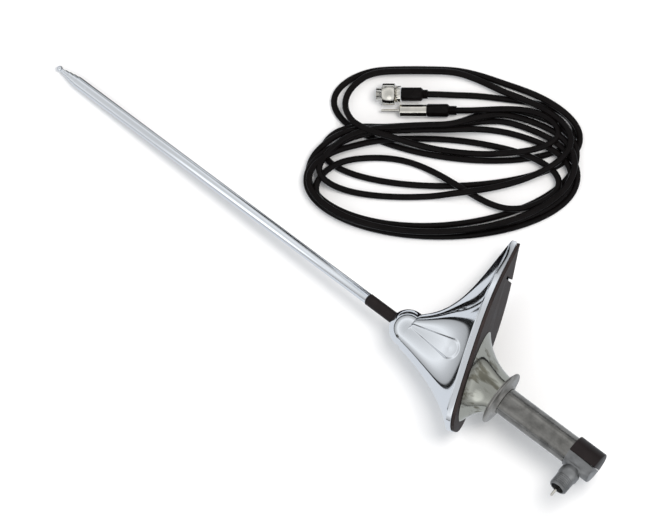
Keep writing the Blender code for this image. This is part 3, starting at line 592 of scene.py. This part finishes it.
def drill_screw_hole(piece):
    """Cut the lock screw's hole into the ball, straight towards its centre."""
    low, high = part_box("lock_screw")
    centre = (low + high) / 2
    way = (centre - PIVOT).normalized()
    mesh = bpy.data.meshes.new("screw_hole")
    work = bmesh.new()
    bmesh.ops.create_cone(work, cap_ends=True, segments=32, radius1=SCREW_HOLE_RADIUS * MM,
                          radius2=SCREW_HOLE_RADIUS * MM, depth=SCREW_HOLE_DEPTH * MM)
    turn = way.to_track_quat("Z", "Y").to_matrix().to_4x4()
    place = Matrix.Translation(centre + way * SCREW_HOLE_OUT * MM)
    bmesh.ops.transform(work, matrix=place @ turn, verts=work.verts)
    work.to_mesh(mesh)
    work.free()
    cutter = new_object("screw_hole", mesh)
    change = piece.modifiers.new("screw_hole", "BOOLEAN")
    change.object = cutter
    change.solver = "EXACT"
    depsgraph = bpy.context.evaluated_depsgraph_get()
    made = bpy.data.meshes.new_from_object(piece.evaluated_get(depsgraph))
    piece.modifiers.clear()
    piece.data = made
    bpy.data.objects.remove(cutter)


class ANTENNA_OT_head(bpy.types.Operator):
    """Ball head as a fine sphere with the mast's bore and the screw's hole, and the mast's sleeve"""

    bl_idname = "antenna.head"
    bl_label = "Ball head"

    def execute(self, context):
        rings = []
        pole = math.pi - BALL_POLE
        mouth = math.asin(MAST_BORE / BALL_RADIUS)
        for k in range(BALL_RINGS + 1):
            angle = pole - (pole - mouth) * k / BALL_RINGS
            height = HEAD_HEIGHT + BALL_RADIUS * math.cos(angle)
            rings.append(circle_ring(BALL_RADIUS * math.sin(angle), height))
        rings.append(circle_ring(MAST_BORE, HEAD_HEIGHT + MAST_BORE_FLOOR))
        piece = new_piece("ball", rings_mesh("ball", rings, False), "swivel_ball")
        drill_screw_hole(piece)
        sleeve = [circle_ring(radius, HEAD_HEIGHT + height) for radius, height in SLEEVE_PROFILE]
        new_piece("sleeve", rings_mesh("sleeve", sleeve, True), "mast_sleeve")
        return {"FINISHED"}


class ANTENNA_OT_dimple(bpy.types.Operator):
    """Small stake mark near the outer mast tube's mouth"""

    bl_idname = "antenna.dimple"
    bl_label = "Stake mark"

    def execute(self, context):
        work = bmesh.new()
        bmesh.ops.create_uvsphere(work, u_segments=24, v_segments=12, radius=STAKE_RADIUS * MM)
        bmesh.ops.scale(work, vec=(1.0, STAKE_FLATNESS, 1.0), verts=work.verts)
        spot = Matrix.Translation(Vector((0.0, -MAST_RADIUS, STAKE_HEIGHT)) * MM)
        bmesh.ops.transform(work, matrix=ANTENNA @ spot, verts=work.verts)
        mesh = bpy.data.meshes.new("stake_mark")
        work.to_mesh(mesh)
        work.free()
        mesh.shade_smooth()
        mesh.materials.append(finish_of("chrome"))
        piece = new_object("stake_mark", mesh)
        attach(piece, "head")
        return {"FINISHED"}


class ANTENNA_OT_plain_pieces(bpy.types.Operator):
    """Every other node but the lead in its own shape, with smooth shading and its finish"""

    bl_idname = "antenna.plain_pieces"
    bl_label = "Plain pieces"

    def execute(self, context):
        made_elsewhere = ("base_cover", "swivel_ball", "mast_sleeve",
                          "lead_coil", "lead_tube_1", "lead_tube_2")
        for node in sorted(frame["nodes"]):
            if node not in made_elsewhere:
                smooth_copy(node)
        return {"FINISHED"}


def socket_named(group, name):
    """Identifier of a node group's input."""
    for item in group.interface.items_tree:
        if item.item_type == "SOCKET" and item.in_out == "INPUT" and item.name == name:
            return item.identifier
    raise RuntimeError("no input named " + name)


def thread_tree():
    """Geometry Nodes: a ridge carried along a spiral."""
    group = bpy.data.node_groups.new("thread", "GeometryNodeTree")
    group.interface.new_socket("Geometry", in_out="INPUT", socket_type="NodeSocketGeometry")
    for name in ("Radius", "Length", "Turns", "Ridge"):
        group.interface.new_socket(name, in_out="INPUT", socket_type="NodeSocketFloat")
    group.interface.new_socket("Material", in_out="INPUT", socket_type="NodeSocketMaterial")
    group.interface.new_socket("Geometry", in_out="OUTPUT", socket_type="NodeSocketGeometry")
    nodes = group.nodes
    given = nodes.new("NodeGroupInput")
    result = nodes.new("NodeGroupOutput")
    spiral = nodes.new("GeometryNodeCurveSpiral")
    spiral.inputs["Resolution"].default_value = THREAD_STEPS
    ridge = nodes.new("GeometryNodeCurvePrimitiveCircle")
    ridge.inputs["Resolution"].default_value = RIDGE_SIDES
    body = nodes.new("GeometryNodeCurveToMesh")
    body.inputs["Fill Caps"].default_value = True
    real = nodes.new("GeometryNodeRealizeInstances")
    paint = nodes.new("GeometryNodeSetMaterial")
    link = group.links.new
    link(given.outputs["Radius"], spiral.inputs["Start Radius"])
    link(given.outputs["Radius"], spiral.inputs["End Radius"])
    link(given.outputs["Length"], spiral.inputs["Height"])
    link(given.outputs["Turns"], spiral.inputs["Rotations"])
    link(given.outputs["Ridge"], ridge.inputs["Radius"])
    link(spiral.outputs["Curve"], body.inputs["Curve"])
    link(ridge.outputs["Curve"], body.inputs["Profile Curve"])
    link(body.outputs["Mesh"], real.inputs["Geometry"])
    link(real.outputs["Geometry"], paint.inputs["Geometry"])
    link(given.outputs["Material"], paint.inputs["Material"])
    link(paint.outputs["Geometry"], result.inputs["Geometry"])
    return group


class ANTENNA_OT_thread(bpy.types.Operator):
    """Fine thread on the side stub"""

    bl_idname = "antenna.thread"
    bl_label = "Stub thread"

    def execute(self, context):
        sizes = context.scene.antenna_sizes
        low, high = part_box("stub_insulator")
        middle = (low + high) / 2
        foot = RIM_CENTRE + MAST_WAY * (middle - RIM_CENTRE).dot(MAST_WAY)
        way = (middle - foot).normalized()
        group = thread_tree()
        host = new_object("thread_host", bpy.data.meshes.new("thread_host"))
        change = host.modifiers.new("thread", "NODES")
        change.node_group = group
        change[socket_named(group, "Radius")] = THREAD_RADIUS * MM
        change[socket_named(group, "Length")] = THREAD_LENGTH * MM
        change[socket_named(group, "Turns")] = THREAD_LENGTH * MM / sizes.thread_pitch
        change[socket_named(group, "Ridge")] = sizes.thread_depth
        change[socket_named(group, "Material")] = finish_of("cast_metal")
        context.view_layer.update()
        made = bpy.data.meshes.new_from_object(host.evaluated_get(context.evaluated_depsgraph_get()))
        bpy.data.objects.remove(host)
        turn = way.to_track_quat("Z", "Y").to_matrix().to_4x4()
        made.transform(Matrix.Translation(foot + way * THREAD_START * MM) @ turn)
        made.shade_smooth()
        piece = new_object("stub_thread", made)
        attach(piece, "base")
        return {"FINISHED"}


def turn_point(turns, share, angle):
    """Point of the coil at an angle, between one turn's oval and the next."""
    place = share * (len(turns) - 1)
    index = min(int(place), len(turns) - 2)
    blend = place - index
    x, y, length, width, tilt = (a + (b - a) * blend for a, b in zip(turns[index], turns[index + 1]))
    tilt = math.radians(tilt)
    along = length * math.cos(angle) * SPLINE_SPREAD
    across = width * math.sin(angle) * SPLINE_SPREAD
    return (x + along * math.cos(tilt) - across * math.sin(tilt),
            y + along * math.sin(tilt) + across * math.cos(tilt))


def coil_points(turns, first, sweep):
    """Route points of several turns."""
    steps = round(abs(sweep) / POINT_ANGLE)
    return [turn_point(turns, k / steps, first + sweep * k / steps) for k in range(steps + 1)]


def smooth_route(points):
    """Even points on the cubic B-spline that the route's points shape."""
    knots = np.array([points[0]] * 2 + points + [points[-1]] * 2, float)
    fine = []
    for k in range(len(knots) - 3):
        group = knots[k:k + 4]
        for t in np.linspace(0, 1, SPLINE_STEPS, endpoint=False):
            weights = np.array([(1 - t) ** 3, 3 * t ** 3 - 6 * t ** 2 + 4,
                                -3 * t ** 3 + 3 * t ** 2 + 3 * t + 1, t ** 3]) / 6
            fine.append(weights @ group)
    fine = np.array(fine + [knots[-1]])
    gaps = np.linalg.norm(np.diff(fine, axis=0), axis=1)
    fine = fine[np.concatenate([[True], gaps > 1e-6])]
    run = np.concatenate([[0], np.cumsum(np.linalg.norm(np.diff(fine, axis=0), axis=1))])
    even = np.linspace(0, run[-1], round(run[-1] / LEAD_SPACING) + 1)
    return np.stack([np.interp(even, run, fine[:, axis]) for axis in (0, 1)], axis=1)


def held_ends(values, reach):
    """Values with the first and last repeated."""
    return np.concatenate([np.full(reach, values[0]), values, np.full(reach, values[-1])])


def blur(values, reach):
    """Moving average with the ends held."""
    return np.convolve(held_ends(values, reach), np.ones(2 * reach + 1) / (2 * reach + 1), mode="valid")


def widen(values, reach):
    """Highest value within reach of each place."""
    wide = held_ends(values, reach)
    return np.max([wide[k:k + len(values)] for k in range(2 * reach + 1)], axis=0)


def clear_of_plugs(route):
    """Move the turns to either side of the plugs, which lie on the floor."""
    kept = int(PLUG_TAIL / LEAD_SPACING)
    push = np.zeros(len(route))
    near, far, lowest, highest = PLUG_ROOM
    for k in range(kept, len(route) - kept):
        x, y = route[k]
        share = ease(held((x - near + PLUG_EASE) / PLUG_EASE)) * ease(held((far + PLUG_EASE - x) / PLUG_EASE))
        if y > PLUG_MIDDLE:
            push[k] = share * max(0.0, highest + (y - PLUG_MIDDLE) / PLUG_CROWDING - y)
        else:
            push[k] = -share * max(0.0, y - lowest + (PLUG_MIDDLE - y) / PLUG_CROWDING)
    return route + np.stack([np.zeros(len(route)), blur(push, PLUG_BLUR)], axis=1)


def room_for_mast(route, centre):
    """Highest centre of each point, low enough where the tilted mast swings over the lead."""
    room = np.full(len(route), HIGHEST)
    cosine = math.cos(LEAD_TURN)
    sine = math.sin(LEAD_TURN)
    for k, (x, y) in enumerate(route):
        away_x = TILT_PIVOT[0] - (x * cosine - y * sine + centre.x / MM)
        away_y = x * sine + y * cosine + centre.y / MM - TILT_PIVOT[1]
        reach = math.hypot(away_x, away_y)
        if math.atan2(away_y, away_x) < TILT_REACH + MAST_ASIDE / reach:
            under = MAST_UNDERSIDE - MAST_FALL * reach - CABLE_RADIUS - MAST_GAP
            room[k] = min(HIGHEST, max(CABLE_RADIUS, under))
    return blur(-widen(-room, 2 * LAY_BLUR), 2 * LAY_BLUR)


def lay_heights(route, room):
    """Height of each point: on the floor, or over whatever the lead was laid on before."""
    diameter = 2 * CABLE_RADIUS * STRAND_DISTANCE
    skip = int(STRAND_SKIP * diameter / LEAD_SPACING)
    heights = np.full(len(route), CABLE_RADIUS)
    for _ in range(LAY_PASSES):
        wanted = np.full(len(route), CABLE_RADIUS)
        for k in range(skip, len(route)):
            apart = np.linalg.norm(route[:k - skip + 1] - route[k], axis=1)
            near = apart < diameter
            if near.any():
                over = heights[:k - skip + 1][near] + np.sqrt(diameter ** 2 - apart[near] ** 2)
                wanted[k] = min(over.max(), room[k])
            heights[k] = max(CABLE_RADIUS, wanted[k])
        heights = blur(blur(widen(heights, 2 * LAY_BLUR), LAY_BLUR), LAY_BLUR)
    heights = np.minimum(heights, room)
    climb = int(PLUG_CLIMB / LEAD_SPACING)
    for k in range(climb):
        share = (1 + math.cos(math.pi * k / climb)) / 2
        heights[k] = heights[k] * (1 - share) + SCREW_PLUG_REAR[2] * share
        heights[-1 - k] = heights[-1 - k] * (1 - share) + RADIO_PLUG_REAR[2] * share
    return heights


def lead_route():
    """The lead's centreline in the frame's own axes, metres."""
    outgoing = coil_points(OUTGOING_TURNS, OUTGOING_FROM, OUTGOING_SWEEP)
    returning = coil_points(RETURNING_TURNS, RETURNING_FROM, RETURNING_SWEEP)
    start = [(SCREW_PLUG_REAR[0] + run, SCREW_PLUG_REAR[1]) for run in PLUG_RUNS] + FROM_SCREW_PLUG
    end = TO_RADIO_PLUG + [(RADIO_PLUG_REAR[0] + run, RADIO_PLUG_REAR[1]) for run in reversed(PLUG_RUNS)]
    route = clear_of_plugs(smooth_route(start + outgoing + BETWEEN_COILS + returning + end))
    low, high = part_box("lead_coil")
    centre = (low + high) / 2
    heights = lay_heights(route, room_for_mast(route, centre))
    turn = Matrix.Rotation(LEAD_TURN, 3, "Z")
    points = []
    for (x, y), height in zip(route, heights):
        points.append(turn @ Vector((x * MM, y * MM, 0)) + Vector((centre.x, centre.y, height * MM)))
    return points


class ANTENNA_OT_lead(bpy.types.Operator):
    """Coaxial lead laid in loose turns between its two plugs"""

    bl_idname = "antenna.lead"
    bl_label = "Lead"

    def execute(self, context):
        points = lead_route()
        curve = bpy.data.curves.new("lead", "CURVE")
        curve.dimensions = "3D"
        curve.bevel_depth = CABLE_RADIUS * MM
        curve.bevel_resolution = 5
        curve.use_fill_caps = True
        spline = curve.splines.new("POLY")
        spline.points.add(len(points) - 1)
        for knot, point in zip(spline.points, points):
            knot.co = (*point, 1.0)
        spline.use_smooth = True
        curve.materials.append(finish_of("cable_jacket"))
        piece = new_object("lead", curve)
        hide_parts("lead_coil", "lead_tube_1", "lead_tube_2")
        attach(piece, "base")
        return {"FINISHED"}


def lay_floor():
    """Pale floor that keeps the shadow; plated faces reflect a grey in its place."""
    mesh = bpy.data.meshes.new("floor")
    half = FLOOR_HALF
    corners = [(-half, -half), (half, -half), (half, half), (-half, half)]
    mesh.from_pydata([(x, y, FLOOR_HEIGHT) for x, y in corners], [], [(0, 1, 2, 3)])
    shader = Shader("floor")
    shader.set(Base_Color=(*FLOOR_COLOUR, 1.0), Roughness=0.9, Specular_IOR_Level=0.1)
    mirrored = shader.node("ShaderNodeEmission", None, {"Color": (*FLOOR_REFLECTION, 1.0)})
    path = shader.node("ShaderNodeLightPath")
    mix = shader.node("ShaderNodeMixShader", None, {0: path.outputs["Is Glossy Ray"],
                                                    1: shader.surface.outputs[0], 2: mirrored.outputs[0]})
    shader.feed(shader.tree.nodes["Material Output"].inputs["Surface"], mix.outputs[0])
    mesh.materials.append(shader.material)
    new_object("floor", mesh)


def lay_black_card():
    """Dark strip along the antenna's upper side, seen only in its polish."""
    inner = [flare_ring(k / CARD_STEPS, -CARD_UNDER)[0] for k in range(CARD_STEPS + 1)]
    outer = [flare_ring(k / CARD_STEPS, CARD_WIDTH)[0] for k in range(CARD_STEPS + 1)]
    inner += [(0.0, 0.0, SEAM_HEIGHT + BALL_RADIUS), (0.0, 0.0, CARD_END)]
    outer += [(CARD_WIDTH, 0.0, SEAM_HEIGHT + BALL_RADIUS), (CARD_WIDTH * CARD_NARROWING, 0.0, CARD_END)]
    points = [ANTENNA @ (Vector(point) * MM) for point in inner + outer]
    count = len(inner)
    faces = [(k, k + 1, count + k + 1, count + k) for k in range(count - 1)]
    mesh = bpy.data.meshes.new("black_card")
    mesh.from_pydata([(point.x, point.y, CARD_HEIGHT) for point in points], [], faces)
    shader = Shader("black_card")
    shader.set(Base_Color=(*CARD_COLOUR, 1.0), Roughness=1.0, Specular_IOR_Level=0.0)
    mesh.materials.append(shader.material)
    card = new_object("black_card", mesh)
    card.visible_camera = False
    card.visible_diffuse = False
    card.visible_shadow = False


def hang_sky(scene):
    """White for the camera; for everything else a graded sky with one soft box."""
    world = bpy.data.worlds.new("studio")
    scene.world = world
    world.use_nodes = True
    world.node_tree.nodes.clear()
    sky = Nodes(world.node_tree)
    way = sky.node("ShaderNodeTexCoord").outputs["Object"]
    height = sky.node("ShaderNodeVectorMath", {"operation": "DOT_PRODUCT"}, {0: way, 1: SKY_LEAN})
    stops = [(place, tuple(level * tint for tint in SKY_TINT)) for place, level in SKY]
    colour = sky.node("ShaderNodeValToRGB", {"stops": stops}, {0: height.outputs["Value"]})
    toward = sky.node("ShaderNodeVectorMath", {"operation": "DOT_PRODUCT"}, {0: way, 1: SOFT_BOX})
    strength = SKY_STRENGTH + SOFT_BOX_LIGHT * sky.share(toward.outputs["Value"], *SOFT_BOX_EDGES)
    graded = sky.node("ShaderNodeBackground", None, {"Color": colour.outputs[0], "Strength": strength})
    white = sky.node("ShaderNodeBackground", None, {"Color": (1.0, 1.0, 1.0, 1.0)})
    path = sky.node("ShaderNodeLightPath")
    mix = sky.node("ShaderNodeMixShader", None, {0: path.outputs["Is Camera Ray"],
                                                 1: graded.outputs[0], 2: white.outputs[0]})
    sky.node("ShaderNodeOutputWorld", None, {0: mix.outputs[0]})


def hang_lamps():
    """Two soft lamps that plated faces don't reflect."""
    for name, place, size, power in LAMPS:
        lamp = bpy.data.lights.new(name, "AREA")
        lamp.size = size
        lamp.energy = power
        lamp.color = LAMP_TINT
        holder = new_object(name, lamp)
        holder.location = place
        holder.visible_glossy = False
        holder.rotation_mode = "QUATERNION"
        holder.rotation_quaternion = (-Vector(place)).to_track_quat("-Z", "Y")


def set_camera(scene):
    """Camera at the photograph's angle, with the rim's centre at its place in the picture."""
    look = Vector((-math.sin(CAMERA_LEAN), 0.0, -math.cos(CAMERA_LEAN)))
    east = Vector((math.cos(CAMERA_LEAN), 0.0, -math.sin(CAMERA_LEAN)))
    north = Vector((0.0, 1.0, 0.0))
    right = east * math.cos(AXIS_TURN) + north * math.sin(AXIS_TURN)
    up = north * math.cos(AXIS_TURN) - east * math.sin(AXIS_TURN)
    off_right = (RIM_CENTRE_PIXEL[0] - PHOTO_SIZE[0] / 2) / PIXELS_PER_MM * MM
    off_down = (RIM_CENTRE_PIXEL[1] - PHOTO_SIZE[1] / 2) / PIXELS_PER_MM * MM
    aim = RIM_CENTRE - right * off_right + up * off_down
    data = bpy.data.cameras.new("camera")
    data.sensor_width = SENSOR
    data.lens = SENSOR * CAMERA_DISTANCE / (PHOTO_SIZE[0] / PIXELS_PER_MM * MM)
    data.clip_end = CAMERA_REACH
    camera = new_object("camera", data)
    camera.matrix_world = (Matrix.Translation(aim - look * CAMERA_DISTANCE)
                           @ Matrix((right, up, -look)).transposed().to_4x4())
    scene.camera = camera


class ANTENNA_OT_stage(bpy.types.Operator):
    """Pale floor, soft light and the camera at the photograph's angle"""

    bl_idname = "antenna.stage"
    bl_label = "Stage"

    def execute(self, context):
        lay_floor()
        lay_black_card()
        hang_sky(context.scene)
        hang_lamps()
        set_camera(context.scene)
        context.scene.view_settings.view_transform = "Standard"
        return {"FINISHED"}


class ANTENNA_PT_panel(bpy.types.Panel):
    """Lists the antenna's operators"""

    bl_label = "Antenna"
    bl_idname = "ANTENNA_PT_panel"
    bl_space_type = "VIEW_3D"
    bl_region_type = "UI"
    bl_category = "Antenna"

    def draw(self, context):
        for step in STEPS:
            self.layout.operator(step.bl_idname)
        for settings in (context.scene.antenna_finish, context.scene.antenna_sizes):
            for name in settings.bl_rna.properties.keys():
                if name not in ("rna_type", "name"):
                    self.layout.prop(settings, name)


STEPS = (ANTENNA_OT_stage, ANTENNA_OT_cover, ANTENNA_OT_head, ANTENNA_OT_dimple,
         ANTENNA_OT_plain_pieces, ANTENNA_OT_thread, ANTENNA_OT_lead)
CLASSES = (Finish, Sizes, *STEPS, ANTENNA_PT_panel)


def register():
    """Register the classes and the scene's settings."""
    for item in CLASSES:
        bpy.utils.register_class(item)
    bpy.types.Scene.antenna_finish = bpy.props.PointerProperty(type=Finish)
    bpy.types.Scene.antenna_sizes = bpy.props.PointerProperty(type=Sizes)


def unregister():
    """Take the settings and the classes out again."""
    del bpy.types.Scene.antenna_sizes
    del bpy.types.Scene.antenna_finish
    for item in reversed(CLASSES):
        bpy.utils.unregister_class(item)


def main():
    """Dress the antenna."""
    register()
    bpy.ops.antenna.stage()
    bpy.ops.antenna.cover()
    bpy.ops.antenna.head()
    bpy.ops.antenna.dimple()
    bpy.ops.antenna.plain_pieces()
    bpy.ops.antenna.thread()
    bpy.ops.antenna.lead()


if __name__ == "__main__":
    main()
